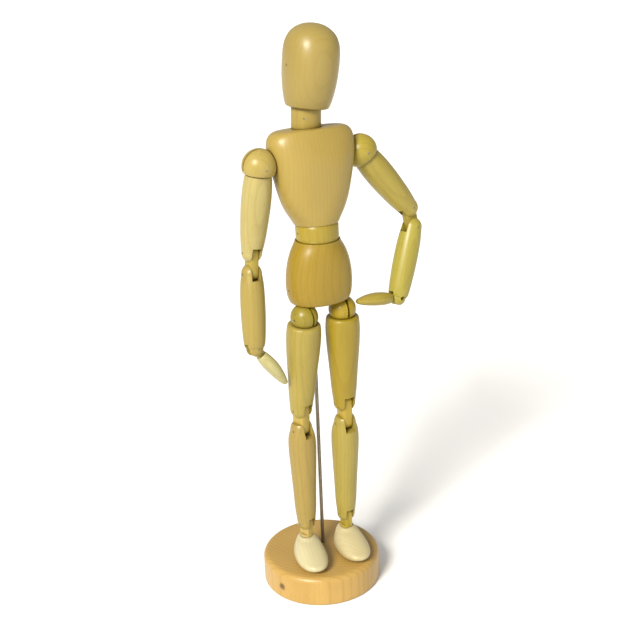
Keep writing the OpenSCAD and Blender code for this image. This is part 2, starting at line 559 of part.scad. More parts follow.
base();
support_rod();
pelvis();
pelvis_pin();
waist_spring();
waist_hook();
waist();
waist_pin();
waist_eye();
chest();
shoulder_spring();
neck_eye();
neck();
neck_pin();
neck_hook();
head_spring();
head_pin();
head();
shoulder_hook(-1);  // right_shoulder_hook
shoulder_ball(-1);  // right_shoulder_ball
shoulder_pin(-1);  // right_shoulder_pin
upper_arm(-1);  // right_upper_arm
upper_arm_pin(-1);  // right_upper_arm_pin
elbow_link(-1);  // right_elbow_link
forearm(-1);  // right_forearm
forearm_pins(-1);  // right_forearm_pins
wrist_knuckle(-1);  // right_wrist_knuckle
hand(-1);  // right_hand
shoulder_hook(1);  // left_shoulder_hook
shoulder_ball(1);  // left_shoulder_ball
shoulder_pin(1);  // left_shoulder_pin
upper_arm(1);  // left_upper_arm
upper_arm_pin(1);  // left_upper_arm_pin
elbow_link(1);  // left_elbow_link
forearm(1);  // left_forearm
forearm_pins(1);  // left_forearm_pins
wrist_knuckle(1);  // left_wrist_knuckle
hand(1);  // left_hand
hip_hook(-1);  // right_hip_hook
hip_ball(-1);  // right_hip_ball
hip_pin(-1);  // right_hip_pin
thigh(-1);  // right_thigh
thigh_pin(-1);  // right_thigh_pin
knee_link(-1);  // right_knee_link
shin(-1);  // right_shin
shin_pins(-1);  // right_shin_pins
ankle_knuckle(-1);  // right_ankle_knuckle
foot(-1);  // right_foot
hip_hook(1);  // left_hip_hook
hip_ball(1);  // left_hip_ball
hip_pin(1);  // left_hip_pin
thigh(1);  // left_thigh
thigh_pin(1);  // left_thigh_pin
knee_link(1);  // left_knee_link
shin(1);  // left_shin
shin_pins(1);  // left_shin_pins
ankle_knuckle(1);  // left_ankle_knuckle
foot(1);  // left_foot
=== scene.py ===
import math
import random

import bmesh
import bpy
from mathutils import Matrix, Vector

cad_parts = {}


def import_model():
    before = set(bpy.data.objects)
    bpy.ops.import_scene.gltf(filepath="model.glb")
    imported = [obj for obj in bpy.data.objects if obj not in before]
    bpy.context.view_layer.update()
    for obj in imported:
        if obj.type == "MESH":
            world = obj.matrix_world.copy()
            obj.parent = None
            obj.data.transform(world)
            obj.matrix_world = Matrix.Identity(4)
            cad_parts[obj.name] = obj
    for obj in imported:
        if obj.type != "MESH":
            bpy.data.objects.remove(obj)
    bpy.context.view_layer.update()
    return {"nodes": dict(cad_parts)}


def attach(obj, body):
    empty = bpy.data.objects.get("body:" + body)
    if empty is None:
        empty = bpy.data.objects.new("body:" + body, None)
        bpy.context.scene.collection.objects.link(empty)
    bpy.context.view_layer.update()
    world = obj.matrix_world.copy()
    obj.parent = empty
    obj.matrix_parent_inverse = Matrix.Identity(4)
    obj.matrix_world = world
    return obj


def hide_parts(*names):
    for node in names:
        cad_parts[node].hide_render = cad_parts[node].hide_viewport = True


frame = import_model()

# ---------------------------------------------------------------- dimensions, in millimetres and degrees
P = {}
# dims begin
P.update(dict(
    base_d=65, base_h=16.8, base_round=3.2, rod_d=2, rod_x=3.6, rod_y=4.6, rod_socket=14, figure_x=2.6, figure_y=-5.4,
    pelvis_z=166.8, pelvis_h=32.5, waist_z=36.8, waist_r=11, chest_h=51.4, neck_y=2, neck_z=56.5, neck_r=7.5,
    head_h=40.2, eye_shift=0.7, seam=0.25, shoulder_x=28.3, shoulder_y=0.5, shoulder_z=36.4, shoulder_r=8.7,
    shoulder_flat=3.7, upper_arm_len=45.2, elbow_tip=4.95, elbow_pins=10.8, forearm_len=47, wrist_tip=3.8,
    wrist_drop=5.2, hand_len=22, right_wrist_slot=90, left_wrist_slot=0, hip_x=11.1, hip_y=-3.4, hip_z=-6.4,
    hip_r=7.2, hip_flat=3.5, thigh_len=52.8, knee_tip=3.4, knee_pins=12, shin_len=63, ankle_tip=2.6, ankle_drop=8.4,
    foot_h=12, pin_d=1.2, wire_d=1.1, spring_d=4, wrist_hole_d=2.3, elbow_link_t=4.6, knee_link_t=5.4, waist_turn=0,
    waist_bend=-2, chest_bend=-3, chest_turn=0, neck_turn=55, neck_nod=5, head_nod=5, head_turn=-55,
    right_arm_swing=-10, right_arm_raise=6.5, right_arm_twist=4, right_elbow_upper=8.5, right_elbow_lower=6,
    right_wrist_bend=41, right_hand_twist=0, left_arm_swing=-5, left_arm_raise=39.5, left_arm_twist=79.5,
    left_elbow_upper=31, left_elbow_lower=29.5, left_wrist_bend=78, left_hand_twist=0, right_hip_turn=17.5,
    right_hip_swing=-6, right_thigh_twist=0, right_knee_upper=-3.5, right_knee_lower=-3, right_ankle_bend=-2,
    right_foot_turn=-29.5, left_hip_turn=-1.5, left_hip_swing=-1, left_thigh_twist=0, left_knee_upper=0,
    left_knee_lower=1, left_ankle_bend=1, left_foot_turn=9, elbow_rho=5.3, wrist_rho=4.4, knee_rho=5.9, ankle_rho=4.9,
    elbow_link_r=3.2, knee_link_r=3.8, wrist_tongue=3.2, ankle_tongue=4.2, socket_r=2.6, tenon_r=2.5,
))
# dims end
MM = 0.001
PR = P["pin_d"] / 2


def rot(axis, deg):
    return Matrix.Rotation(math.radians(deg), 4, axis)


def tr(x, y, z):
    return Matrix.Translation(Vector((x, y, z)))


# frames of the bodies at rest, in millimetres, each from its parent
F = {"base": Matrix.Identity(4)}
F["pelvis"] = tr(P["figure_x"], P["figure_y"], P["pelvis_z"])
F["waist_hook"] = F["pelvis"] @ tr(0, 0, P["waist_z"]) @ rot("Z", P["waist_turn"])
F["waist"] = F["waist_hook"] @ rot("X", P["waist_bend"])
F["waist_eye"] = F["waist"] @ rot("X", P["chest_bend"])
F["chest"] = F["waist_eye"] @ rot("Z", P["chest_turn"])
F["neck_eye"] = F["chest"] @ tr(0, P["neck_y"], P["neck_z"]) @ rot("Z", P["neck_turn"])
F["neck"] = F["neck_eye"] @ rot("X", P["neck_nod"])
F["neck_hook"] = F["neck"] @ rot("X", P["head_nod"])
F["head"] = F["neck_hook"] @ rot("Z", P["head_turn"])
UA_TOP = -(P["shoulder_flat"] + P["seam"])
UA_PIN = UA_TOP - P["upper_arm_len"] + P["elbow_tip"]
WRIST_Z = -(P["forearm_len"] - P["elbow_tip"] - P["wrist_tip"])
TH_TOP = -(P["hip_flat"] + P["seam"])
KNEE_Z = TH_TOP - P["thigh_len"] + P["knee_tip"]
ANKLE_Z = -(P["shin_len"] - P["knee_tip"] - P["ankle_tip"])
for s, sd in ((-1, "right"), (1, "left")):
    g = {k[len(sd) + 1:]: v for k, v in P.items() if k.startswith(sd + "_")}
    F[sd + "_shoulder_hook"] = F["chest"] @ tr(s * P["shoulder_x"], P["shoulder_y"], P["shoulder_z"]) @ rot("X", -g["arm_swing"])
    F[sd + "_shoulder_ball"] = F[sd + "_shoulder_hook"] @ rot("Y", -s * g["arm_raise"])
    F[sd + "_upper_arm"] = F[sd + "_shoulder_ball"] @ rot("Z", -s * g["arm_twist"])
    F[sd + "_elbow_link"] = F[sd + "_upper_arm"] @ tr(0, 0, UA_PIN) @ rot("X", -g["elbow_upper"])
    F[sd + "_forearm"] = F[sd + "_elbow_link"] @ tr(0, 0, -P["elbow_pins"]) @ rot("X", -g["elbow_lower"])
    F[sd + "_wrist_knuckle"] = F[sd + "_forearm"] @ tr(0, 0, WRIST_Z) @ rot("Z", -s * g["wrist_slot"]) @ rot("X", -g["wrist_bend"])
    F[sd + "_hand"] = F[sd + "_wrist_knuckle"] @ tr(0, 0, -P["wrist_drop"]) @ rot("Z", -s * g["hand_twist"])
    F[sd + "_hip_hook"] = F["pelvis"] @ tr(s * P["hip_x"], P["hip_y"], P["hip_z"]) @ rot("Z", -s * g["hip_turn"])
    F[sd + "_hip_ball"] = F[sd + "_hip_hook"] @ rot("X", -g["hip_swing"])
    F[sd + "_thigh"] = F[sd + "_hip_ball"] @ rot("Z", -s * g["thigh_twist"])
    F[sd + "_knee_link"] = F[sd + "_thigh"] @ tr(0, 0, KNEE_Z) @ rot("X", g["knee_upper"])
    F[sd + "_shin"] = F[sd + "_knee_link"] @ tr(0, 0, -P["knee_pins"]) @ rot("X", g["knee_lower"])
    F[sd + "_ankle_knuckle"] = F[sd + "_shin"] @ tr(0, 0, ANKLE_Z) @ rot("X", -g["ankle_bend"])
    F[sd + "_foot"] = F[sd + "_ankle_knuckle"] @ tr(0, 0, -P["ankle_drop"]) @ rot("Z", -s * g["foot_turn"])
F["rod"] = Matrix.Identity(4)


def world(body):
    """Body frame in metres."""
    m = F[body].copy()
    m.translation = m.translation * MM
    return m


# ---------------------------------------------------------------- mesh helpers (local millimetres -> metres)
def finish_mesh(ob, angle=32):
    """Smooth shading with sharp creases, and clean normals."""
    me = ob.data
    bm = bmesh.new()
    bm.from_mesh(me)
    bmesh.ops.remove_doubles(bm, verts=bm.verts, dist=2e-6)
    bmesh.ops.dissolve_degenerate(bm, dist=1e-6, edges=bm.edges)
    bmesh.ops.recalc_face_normals(bm, faces=bm.faces)
    lim = math.radians(angle)
    for e in bm.edges:
        e.smooth = not (len(e.link_faces) == 2 and e.calc_face_angle(0) > lim)
    for f in bm.faces:
        f.smooth = True
    bm.to_mesh(me)
    bm.free()
    me.update()
    return ob


def new_object(name, bm):
    for v in bm.verts:
        v.co *= MM
    me = bpy.data.meshes.new(name)
    bm.to_mesh(me)
    bm.free()
    ob = bpy.data.objects.new(name, me)
    bpy.context.collection.objects.link(ob)
    return ob


def rings_mesh(bm, rings):
    """Closed solid through rings of points, first ring to last, with fan caps."""
    rows = [[bm.verts.new(p) for p in r] for r in rings]
    m = len(rows[0])
    for a, b in zip(rows, rows[1:]):
        for j in range(m):
            k = (j + 1) % m
            bm.faces.new((a[j], a[k], b[k], b[j]))
    for row, flip in ((rows[0], True), (rows[-1], False)):
        c = bm.verts.new(sum((v.co for v in row), Vector()) / m)
        for j in range(m):
            k = (j + 1) % m
            bm.faces.new((row[k], row[j], c) if flip else (row[j], row[k], c))
    return bm


def spline(rows, n):
    """Catmull-Rom through rows of numbers."""
    out = []
    k = len(rows)
    for i in range(k - 1):
        a, b, c, d = rows[max(i - 1, 0)], rows[i], rows[i + 1], rows[min(i + 2, k - 1)]
        for s in range(n):
            t = s / n
            out.append([0.5 * (2 * q + (r - p) * t + (2 * p - 5 * q + 4 * r - w) * t * t + (3 * q - p - 3 * r + w) * t ** 3)
                        for p, q, r, w in zip(a, b, c, d)])
    out.append(list(rows[-1]))
    return out


def turned(profile, seg=96):
    """Revolved solid: profile rows are (radius, z), top or bottom first."""
    bm = bmesh.new()
    rings = [[(r * math.cos(2 * math.pi * j / seg), r * math.sin(2 * math.pi * j / seg), z) for j in range(seg)]
             for r, z in profile]
    return rings_mesh(bm, rings)


def spow(v, p):
    return math.copysign(abs(v) ** p, v)


def outline(row, m):
    z, w, f, b, cy, q = row
    out = []
    for j in range(m):
        a = 2 * math.pi * (j + 0.5) / m
        c, s = math.cos(a), math.sin(a)
        out.append((w * spow(c, 2 / q), cy + (b if s > 0 else f) * spow(s, 2 / q), z))
    return out


def loft(rows, m=96, n=5):
    bm = bmesh.new()
    return rings_mesh(bm, [outline(r, m) for r in spline(rows, n)])


def dome(rho, tip, z, up, n=12):
    a0 = math.asin(tip / rho)
    out = []
    for i in range(n + 1):
        a = a0 * ((n - i) if up > 0 else i) / n
        out.append((rho * math.cos(a), z + up * rho * math.sin(a)))
    return out


def soft_end(r, z, up, e=0.35, n=4):
    """Small rounded rim at a turned end, from the flat outwards."""
    pts = [(r - e + e * math.sin(math.pi / 2 * i / n), z - up * (e - e * math.cos(math.pi / 2 * i / n))) for i in range(n + 1)]
    return pts


def boolean(ob, cutters, op="DIFFERENCE"):
    for c in cutters:
        md = ob.modifiers.new("cut", "BOOLEAN")
        md.operation, md.solver, md.object = op, "EXACT", c
    bpy.context.view_layer.update()
    dg = bpy.context.evaluated_depsgraph_get()
    me = bpy.data.meshes.new_from_object(ob.evaluated_get(dg))
    ob.modifiers.clear()
    old = ob.data
    ob.data = me
    bpy.data.meshes.remove(old)
    for c in cutters:
        old = c.data
        bpy.data.objects.remove(c)
        bpy.data.meshes.remove(old)
    return ob


def c_ball(r, at=(0, 0, 0), seg=96):
    bm = bmesh.new()
    bmesh.ops.create_uvsphere(bm, u_segments=seg, v_segments=seg // 2, radius=r, matrix=tr(*at))
    return new_object("cutter", bm)


def c_cyl(r, h, at=(0, 0, 0), axis="Z", seg=48):
    bm = bmesh.new()
    m = tr(*at) @ {"Z": Matrix.Identity(4), "X": rot("Y", 90), "Y": rot("X", 90)}[axis]
    bmesh.ops.create_cone(bm, cap_ends=True, segments=seg, radius1=r, radius2=r, depth=h, matrix=m)
    return new_object("cutter", bm)


def c_box(x0, x1, y0, y1, z0, z1, m=None):
    bm = bmesh.new()
    bmesh.ops.create_cube(bm, size=1, matrix=(m or Matrix.Identity(4)) @ tr((x0 + x1) / 2, (y0 + y1) / 2, (z0 + z1) / 2)
                          @ Matrix.Diagonal((x1 - x0, y1 - y0, z1 - z0, 1)))
    return new_object("cutter", bm)


def c_slot(t, y, z0, z1, m=None):
    """Saw slot as a plain box: a box with its long edges chamfered outwards is not needed at this width."""
    return c_box(-t / 2, t / 2, -y, y, min(z0, z1), max(z0, z1), m)


made = []


def place(ob, name, body, node, material, angle=32):
    ob.name = name
    finish_mesh(ob, angle)
    ob.data.transform(world(body))
    ob.data.materials.clear()
    ob.data.materials.append(material)
    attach(ob, body)
    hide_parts(node)
    made.append(ob)
    return ob


# ---------------------------------------------------------------- materials
def nodes_of(name):
    mat = bpy.data.materials.new(name)
    mat.use_nodes = True
    nt = mat.node_tree
    nt.nodes.clear()
    out = nt.nodes.new("ShaderNodeOutputMaterial")
    bsdf = nt.nodes.new("ShaderNodeBsdfPrincipled")
    nt.links.new(bsdf.outputs[0], out.inputs[0])
    return mat, nt, bsdf


class Net:
    """Short names for building a node tree."""

    def __init__(self, nt):
        self.nt = nt

    def put(self, sock, v):
        if isinstance(v, bpy.types.NodeSocket):
            self.nt.links.new(v, sock)
        elif v is not None:
            sock.default_value = v

    def coords(self, scale, loc=(0, 0, 0), rotation=(0, 0, 0), inverse=None):
        tc = self.nt.nodes.new("ShaderNodeTexCoord")
        src = tc.outputs["Object"]
        if inverse is not None:
            m0 = self.nt.nodes.new("ShaderNodeMapping")
            m0.inputs["Location"].default_value = inverse.to_translation()
            m0.inputs["Rotation"].default_value = inverse.to_euler()
            self.nt.links.new(src, m0.inputs[0])
            src = m0.outputs[0]
        mp = self.nt.nodes.new("ShaderNodeMapping")
        mp.inputs["Location"].default_value = loc
        mp.inputs["Rotation"].default_value = rotation
        mp.inputs["Scale"].default_value = scale
        self.nt.links.new(src, mp.inputs[0])
        return mp.outputs[0]

    def noise(self, vec, scale, detail=2.0, rough=0.5, dist=0.0):
        n = self.nt.nodes.new("ShaderNodeTexNoise")
        self.put(n.inputs["Vector"], vec)
        n.inputs["Scale"].default_value = scale
        n.inputs["Detail"].default_value = detail
        n.inputs["Roughness"].default_value = rough
        n.inputs["Distortion"].default_value = dist
        return n.outputs[0]

    def wave(self, vec, scale, dist, detail=2.0, dscale=1.0, kind="RINGS", profile="SAW"):
        n = self.nt.nodes.new("ShaderNodeTexWave")
        n.wave_type = kind
        if kind == "RINGS":
            n.rings_direction = "Z"
        else:
            n.bands_direction = "X"
        n.wave_profile = profile
        self.put(n.inputs["Vector"], vec)
        n.inputs["Scale"].default_value = scale
        n.inputs["Distortion"].default_value = dist
        n.inputs["Detail"].default_value = detail
        n.inputs["Detail Scale"].default_value = dscale
        return n.outputs["Fac"]

    def ramp(self, fac, stops, interp="LINEAR"):
        n = self.nt.nodes.new("ShaderNodeValToRGB")
        n.color_ramp.interpolation = interp
        e = n.color_ramp.elements
        while len(e) < len(stops):
            e.new(0.5)
        for el, (pos, col) in zip(e, stops):
            el.position = pos
            el.color = col if len(col) == 4 else (*col, 1)
        self.put(n.inputs[0], fac)
        return n.outputs[0]

    def mix(self, fac, a, b, mode="MIX"):
        n = self.nt.nodes.new("ShaderNodeMix")
        n.data_type = "RGBA"
        n.blend_type = mode
        self.put(n.inputs[0], fac)
        self.put(n.inputs[6], a)
        self.put(n.inputs[7], b)
        return n.outputs[2]

    def math(self, op, a, b=None, c=None):
        n = self.nt.nodes.new("ShaderNodeMath")
        n.operation = op
        self.put(n.inputs[0], a)
        if b is not None:
            self.put(n.inputs[1], b)
        if c is not None:
            self.put(n.inputs[2], c)
        return n.outputs[0]

    def bump(self, height, strength, dist, normal=None):
        n = self.nt.nodes.new("ShaderNodeBump")
        n.inputs["Strength"].default_value = strength
        n.inputs["Distance"].default_value = dist
        self.put(n.inputs["Height"], height)
        if normal is not None:
            self.nt.links.new(normal, n.inputs["Normal"])
        return n.outputs[0]


def lin(h):
    """sRGB hex to linear RGBA."""
    c = [int(h[i:i + 2], 16) / 255 for i in (0, 2, 4)]
    return tuple((x / 12.92 if x <= 0.04045 else ((x + 0.055) / 1.055) ** 2.4) for x in c) + (1,)


def shade(c, k, tint=(1, 1, 1)):
    return tuple(min(1, c[i] * k * tint[i]) for i in range(3)) + (1,)


def lacquered(name, tone, seed, inverse=None, heart=None, contrast=1.0, turning=0.25, knot=None):
    """Satin-lacquered turned wood. The grain runs along the piece's own Z."""
    rnd = random.Random(seed)
    mat, nt, b = nodes_of(name)
    n = Net(nt)
    off = (rnd.uniform(-1, 1), rnd.uniform(-1, 1), rnd.uniform(-1, 1))
    heart = heart or (rnd.uniform(0.012, 0.03) * rnd.choice((-1, 1)), rnd.uniform(0.01, 0.02) * rnd.choice((-1, 1)))
    tilt = (math.radians(rnd.uniform(-4, 4)), math.radians(rnd.uniform(-4, 4)), rnd.uniform(0, 3))
    base = lin(tone)
    # growth rings, seen on a turned piece as long flames
    ring_v = n.coords((1, 1, 0.16), (heart[0], heart[1], off[2] * 0.01), tilt, inverse)
    rings = n.wave(ring_v, 150 + rnd.uniform(-25, 25), 1.6, 2.5, 1.2)
    late = n.ramp(rings, [(0.0, (0, 0, 0)), (0.62, (0.12,) * 3), (0.93, (1,) * 3), (1.0, (0.25,) * 3)])
    # fibre streaks and pores
    fib_v = n.coords((1, 1, 0.035), (off[0], off[1], off[2]), tilt, inverse)
    fibre = n.noise(fib_v, 1500, 4, 0.62)
    fine = n.noise(fib_v, 5200, 2, 0.5)
    pore_v = n.coords((1, 1, 0.07), (off[1], off[2], off[0]), tilt, inverse)
    pores = n.ramp(n.noise(pore_v, 2600, 1.5, 0.5), [(0.66, (0, 0, 0)), (0.74, (1, 1, 1))])
    # slow changes of tone along and round the piece
    slow = n.noise(n.coords((1, 1, 0.45), (off[2], off[0], off[1]), (0, 0, 0), inverse), 55, 2, 0.5)
    c = n.mix(n.math("MULTIPLY", slow, 0.9), shade(base, 1.1, (1.0, 1.0, 1.04)), shade(base, 0.84, (1.0, 0.97, 0.86)))
    c = n.mix(n.math("MULTIPLY", late, 0.26 * contrast), c, shade(base, 0.62, (1.0, 0.84, 0.62)), "MIX")
    c = n.mix(n.math("MULTIPLY", n.ramp(fibre, [(0.35, (1, 1, 1)), (0.62, (0, 0, 0))]), 0.2 * contrast), c, shade(base, 0.7, (1, 0.9, 0.72)))
    c = n.mix(n.math("MULTIPLY", pores, 0.3 * contrast), c, shade(base, 0.42, (1, 0.8, 0.6)))
    if knot:
        kx, ky, kz, kr = knot
        kv = n.coords((1, 1, 1), (-kx, -ky, -kz), (0, 0, 0), inverse)
        warp = n.noise(kv, 260, 2, 0.5)
        ln = nt.nodes.new("ShaderNodeVectorMath")
        ln.operation = "LENGTH"
        nt.links.new(kv, ln.inputs[0])
        dist = n.math("ADD", n.math("DIVIDE", ln.outputs["Value"], kr), n.math("MULTIPLY", n.math("SUBTRACT", warp, 0.5), 0.5))
        core = n.ramp(dist, [(0.0, (1, 1, 1)), (0.55, (0.8, 0.8, 0.8)), (0.8, (0.2, 0.2, 0.2)), (1.0, (0, 0, 0))])
        c = n.mix(n.math("MULTIPLY", core, 0.92), c, lin("4A2A10"))
    # painted shade darkening the corners and crevices, pale rubbed edges
    ao = nt.nodes.new("ShaderNodeAmbientOcclusion")
    ao.samples = 6
    ao.inputs["Distance"].default_value = 0.0016
    # painted shade: the occlusion mask darkens the colour in corners, seams and crevices
    painted_crevice_shade = n.ramp(ao.outputs["AO"], [(0.25, (1, 1, 1)), (0.85, (0, 0, 0))])
    c = n.mix(n.math("MULTIPLY", painted_crevice_shade, 0.55), c, shade(base, 0.3, (1.0, 0.72, 0.42)))
    geo = nt.nodes.new("ShaderNodeNewGeometry")
    edge = n.ramp(geo.outputs["Pointiness"], [(0.53, (0, 0, 0)), (0.6, (1, 1, 1))])
    c = n.mix(n.math("MULTIPLY", edge, 0.3), c, shade(base, 1.25, (1, 1, 1.05)))
    nt.links.new(c, b.inputs["Base Color"])
    rough = n.math("ADD", n.math("MULTIPLY", fibre, 0.16), n.math("ADD", n.math("MULTIPLY", slow, 0.1), 0.27))
    nt.links.new(rough, b.inputs["Roughness"])
    b.inputs["Coat Weight"].default_value = 0.16
    b.inputs["Coat Roughness"].default_value = 0.22
    b.inputs["Coat IOR"].default_value = 1.5
    b.inputs["Specular IOR Level"].default_value = 0.32
    b.inputs["Subsurface Weight"].default_value = 0.0
    # lathe marks run round the piece, fibres along it
    lathe = n.wave(n.coords((0.0, 0.0, 1), (0, 0, 0), (0, 0, 0), inverse), 520, 0.8, 2, 3.0, "RINGS", "SIN")
    nrm = n.bump(fibre, 0.18, 0.00008)
    nrm = n.bump(fine, 0.12, 0.00005, nrm)
    nrm = n.bump(late, 0.1, 0.00006, nrm)
    if turning:
        nrm = n.bump(lathe, turning * 0.3, 0.00006, nrm)
    nt.links.new(nrm, b.inputs["Normal"])
    return mat


def steel(name, seed, axis_scale=(1, 1, 0.05)):
    rnd = random.Random(seed)
    mat, nt, b = nodes_of(name)
    n = Net(nt)
    v = n.coords(axis_scale, (rnd.random(), rnd.random(), rnd.random()))
    draw = n.noise(v, 6000, 3, 0.6)
    blot = n.noise(n.coords((1, 1, 1), (rnd.random(),) * 3), 260, 3, 0.6)
    c = n.mix(n.math("MULTIPLY", blot, 0.8), lin("A39B8B"), lin("6F675B"))
    c = n.mix(n.math("MULTIPLY", n.ramp(blot, [(0.6, (0, 0, 0)), (0.72, (1, 1, 1))]), 0.35), c, lin("5A4632"))
    nt.links.new(c, b.inputs["Base Color"])
    b.inputs["Metallic"].default_value = 0.9
    nt.links.new(n.math("ADD", n.math("MULTIPLY", draw, 0.25), 0.26), b.inputs["Roughness"])
    nt.links.new(n.bump(draw, 0.2, 0.00003), b.inputs["Normal"])
    return mat


WOOD = "D2B268"
PALE = "B6AE88"
TAN = "B0904E"
tones = {
    "pelvis": "8F7721", "waist": "96832B", "chest": "9D8843", "neck": "9C8942", "head": "948244",
    "right_thigh": "97883E", "left_thigh": "917E23", "right_shin": "958141", "left_shin": "988A3F",
    "right_upper_arm": "A89B60", "left_upper_arm": "9B8C3C", "right_forearm": "998844", "left_forearm": "988E39",
    "right_hand": "A9A36F", "left_hand": "988836", "right_foot": "B6AE88", "left_foot": "B6AB82", "base": "A69053",
    "right_hip_ball": "887A26", "left_hip_ball": "97821E", "right_shoulder_ball": "A4924D",
    "left_shoulder_ball": "9A8B33", "right_elbow_link": "A1903A", "left_elbow_link": "8A7921",
    "right_knee_link": "A99444", "left_knee_link": "A58F32", "right_wrist_knuckle": "978939",
    "left_wrist_knuckle": "958535", "right_ankle_knuckle": "AB9656", "left_ankle_knuckle": "9D8A30",
}
_seed = {k: i * 7 + 3 for i, k in enumerate(sorted(tones))}


def wood(node, **kw):
    return lacquered("wood_" + node, tones[node], _seed[node], inverse=world(node).inverted(), **kw)


# ---------------------------------------------------------------- stand
def base_profile():
    R, H, e = P["base_d"] / 2, P["base_h"], P["base_round"]
    pts = [(R - 1.6 - 6 + 6 * i / 3, 0) for i in range(3)] + [(R - 1.6, 0)]
    pts += [(R - 1.6 + 1.6 * math.sin(math.radians(a)), 1.6 - 1.6 * math.cos(math.radians(a))) for a in range(15, 91, 15)]
    pts += [(R, 1.6 + (H - e - 1.6) * k / 4) for k in (1, 2, 3)]
    pts += [(R - e + e * math.cos(math.radians(a)), H - e + e * math.sin(math.radians(a))) for a in range(0, 91, 10)]
    pts += [(R - e - 4, H), (R - e - 12, H), (8, H)]
    return pts


ob = new_object("base_turned", turned(base_profile(), 160))
boolean(ob, [c_cyl(P["rod_d"] / 2 + 0.02, 40, (P["rod_x"], P["rod_y"], 23))])
# the knot sits low on the rim, towards the front right of the figure
ka = math.radians(-27 - 43)
kn = ((P["base_d"] / 2 - 0.5) * math.sin(ka) * MM, -(P["base_d"] / 2 - 0.5) * math.cos(ka) * MM, 0.0078, 0.0029)
place(ob, "base_turned", "base", "base",
      lacquered("wood_base", TAN, 5, heart=(0.05, 0.02), contrast=1.25, turning=0.35, knot=kn))

# ---------------------------------------------------------------- trunk
waist_ball = P["waist_r"] + 0.5
waist_dish = waist_ball + 0.3
neck_ball = P["neck_r"] + 1.5
neck_dish = neck_ball + 0.3
EYE_HOLE = P["wire_d"] / 2 + 0.25
H = P["pelvis_h"]
pelvis_rows = [[0, 14.9, 11.2, 11.4, 0, 2.2], [0.35, 15.4, 11.7, 11.9, 0, 2.2], [1, 16, 12.3, 12.5, 0, 2.2], [4, 17, 13.1, 13.3, 0, 2.2],
               [9, 17.5, 13.5, 13.5, 0, 2.2], [14, 17.4, 13.5, 13.3, 0, 2.2], [18, 17, 13.3, 12.9, 0, 2.15],
               [22.5, 16.1, 12.9, 12.4, 0, 2.1], [27, 14.5, 12.3, 11.9, 0, 2.05], [30.5, 12.6, 11.6, 11.5, 0, 2], [H, 11.6, 11.3, 11.3, 0, 2]]
ob = new_object("pelvis_carved", loft(pelvis_rows, 120, 5))
cut = [c_ball(waist_dish, (0, 0, P["waist_z"])),
       c_cyl(P["rod_d"] / 2 + 0.1, P["rod_socket"] + 2, (P["rod_x"] - P["figure_x"], P["rod_y"] - P["figure_y"], P["rod_socket"] / 2 - 1)),
       c_cyl(P["spring_d"] / 2 + 0.25, 40, (0, 0, 25.3)), c_cyl(PR, 60, (0, 0, 7.8), "X")]
for s in (-1, 1):
    cut += [c_ball(P["hip_r"] + 0.3, (s * P["hip_x"], P["hip_y"], P["hip_z"]), 80),
            c_cyl(EYE_HOLE, 17.2, (s * P["hip_x"], P["hip_y"], P["hip_z"] + 8.6))]
place(boolean(ob, cut), "pelvis_carved", "pelvis", "pelvis", wood("pelvis", contrast=0.75))


def drum(r, ball, seg=120):
    """Turned drum with spherical ends, its saw slot and pin hole."""
    zc = math.sqrt(ball * ball - r * r)
    top = []
    for i in range(15):
        a = math.radians(90 - 90 * i / 15)
        rr, zz = ball * math.cos(a), ball * math.sin(a)
        if rr < r - 0.05 and rr > 0.4:
            top.append((rr, zz))
    # the ends of the sphere are planed off
    zmax = 9.5 if r > 9 else 6.6
    top = [(x, min(z, zmax)) for x, z in top]
    prof = [(0.5, zmax)] + [t for t in top if t[1] < zmax] + [(r - 0.12, zc + 0.1), (r, zc - 0.15)]
    flat_r = math.sqrt(ball * ball - zmax * zmax)
    prof = [(flat_r * 0.5, zmax), (flat_r, zmax)] + [p for p in prof[1:] if p[0] > flat_r + 0.05]
    body = prof + [(r, z * (zc - 0.15)) for z in (0.5, 0, -0.5)] + [(a, -z) for a, z in reversed(prof)]
    o = new_object("drum", turned(body, seg))
    return boolean(o, [c_box(-(2 * P["eye_shift"] + P["wire_d"] + 0.5) / 2, (2 * P["eye_shift"] + P["wire_d"] + 0.5) / 2, -3.8, 3.8, -ball - 1, ball + 1),
                       c_cyl(PR, 3 * r, axis="X")])


place(drum(P["waist_r"], waist_ball), "waist_drum", "waist", "waist", wood("waist"))
CH = P["chest_h"]
chest_rows = [[4.1, 11.3, 11.2, 11.2, 0, 2], [4.6, 11.7, 11.4, 11.35, 0, 2], [7, 13, 12, 11.8, 0, 2.05], [11, 15.4, 12.7, 12.2, 0, 2.1],
              [16, 17.6, 13.3, 12.4, 0, 2.15], [22, 19.3, 14.1, 12.4, 0, 2.2], [28, 20.6, 14.9, 12.3, 0, 2.25],
              [33, 21.6, 15.2, 12.2, 0, 2.3], [38, 22.5, 14.8, 12, 0, 2.35], [43.5, 23.1, 13.3, 11.7, 0, 2.4],
              [47, 22.8, 12.3, 11.4, 0, 2.35], [49.4, 21.6, 11.5, 11.1, 0, 2.3], [50.8, 19.9, 10.9, 10.7, 0, 2.25], [CH - 0.15, 18.7, 10.5, 10.35, 0, 2.2], [CH, 18.2, 10.3, 10.2, 0, 2.2]]
ob = new_object("chest_carved", loft(chest_rows, 128, 5))
cut = [c_ball(waist_dish), c_ball(neck_dish, (0, P["neck_y"], P["neck_z"])),
       c_cyl(P["spring_d"] / 2 + 0.25, 60, (0, P["shoulder_y"], P["shoulder_z"]), "X"),
       c_cyl(EYE_HOLE, 22, (0, 0, 21.4 - 11)), c_cyl(EYE_HOLE, 20, (0, P["neck_y"], P["neck_z"] - 4))]
for s in (-1, 1):
    cut.append(c_ball(P["shoulder_r"] + 0.3, (s * P["shoulder_x"], P["shoulder_y"], P["shoulder_z"])))
place(boolean(ob, cut), "chest_carved", "chest", "chest", wood("chest", contrast=0.6, heart=(-0.03, 0.012)))
place(drum(P["neck_r"], neck_ball, 96), "neck_drum", "neck", "neck", wood("neck"))
HH = P["head_h"]
hz = lambda f: 4.9 + HH * f
